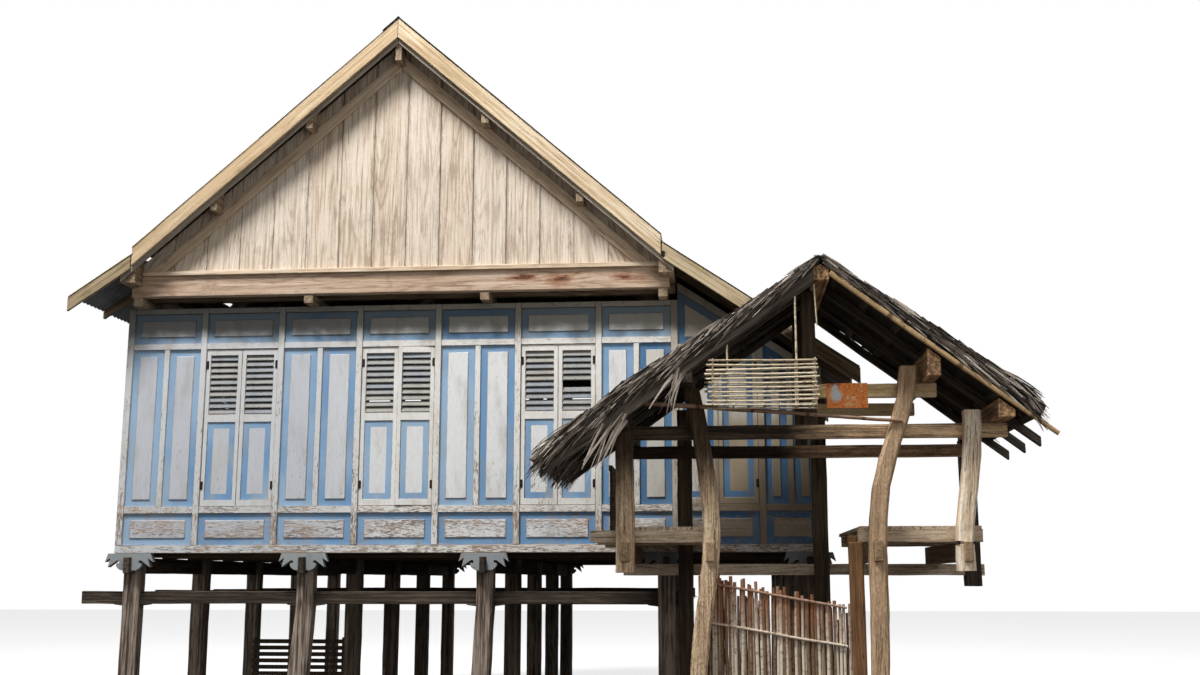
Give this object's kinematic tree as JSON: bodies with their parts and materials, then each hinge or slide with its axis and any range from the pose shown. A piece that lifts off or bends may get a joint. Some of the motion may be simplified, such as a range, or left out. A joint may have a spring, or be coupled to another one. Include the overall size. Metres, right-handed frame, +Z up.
{
  "type": "timber stilt house",
  "caption": "Timber house on posts with blue and white panelled walls, louvred windows, a steep planked gable, a lean-to aisle and a thatched entrance porch on crooked posts",
  "frame": {"origin": "centre of the whole footprint, on the ground under the feet of the posts", "axes": "+X to the right along the panelled front, +Y from the front to the back, +Z up"},
  "size_m": [8.2, 9.08, 6.6725],
  "materials": {
    "post_wood": "weathered grey-brown hewn timber",
    "frame_wood": "bare sawn timber",
    "gable_wood": "sun-bleached boards",
    "white_paint": "chipped cream paint on timber",
    "panel_paint": "blue and white paint on timber, worn",
    "bracket_paint": "pale grey-blue paint on carved timber",
    "roof_sheet": "weathered corrugated sheet",
    "rust_plate": "rusted sheet",
    "thatch": "dry palm thatch",
    "bamboo": "split bamboo"
  },
  "bodies": {
    "root": {"house_posts": "post_wood", "tie_beams": "post_wood", "tie_wedges": "post_wood", "floor_girders": "post_wood", "floor_joists": "post_wood", "notched_post": "post_wood", "porch_posts": "post_wood", "porch_rear_posts": "post_wood", "porch_joists": "post_wood", "porch_bearers": "post_wood", "porch_tie_beams": "post_wood", "porch_king_posts": "post_wood", "porch_plates": "post_wood", "porch_rafters": "post_wood", "lashed_pole": "post_wood", "side_railing": "post_wood", "slat_screen": "post_wood", "cross_beams": "frame_wood", "king_posts": "frame_wood", "long_plates": "frame_wood", "main_rafters": "frame_wood", "principal_rafters": "frame_wood", "ridge_and_purlins": "frame_wood", "skirt_rafters": "frame_wood", "floor_deck": "frame_wood", "porch_floor_planks": "frame_wood", "front_gable_wall": "gable_wood", "back_gable_wall": "gable_wood", "barge_boards": "gable_wood", "gable_beams": "gable_wood", "gable_trims": "gable_wood", "wall_studs": "white_paint", "wall_rails": "white_paint", "end_sills": "white_paint", "side_sills": "white_paint", "front_panels": "panel_paint", "back_panels": "panel_paint", "left_panels": "panel_paint", "right_panels": "panel_paint", "front_shutters": "panel_paint", "back_shutters": "panel_paint", "left_shutters": "panel_paint", "right_shutters": "panel_paint", "front_louvres": "panel_paint", "back_louvres": "panel_paint", "left_louvres": "panel_paint", "carved_brackets": "bracket_paint", "main_roof": "roof_sheet", "skirt_roofs": "roof_sheet", "ridge_cap": "roof_sheet", "rusty_plate": "rust_plate", "thatch_left": "thatch", "thatch_right": "thatch", "bamboo_fence": "bamboo", "rack_slats": "bamboo", "rack_uprights": "bamboo", "porch_battens": "bamboo"}
  },
  "joints": []
}
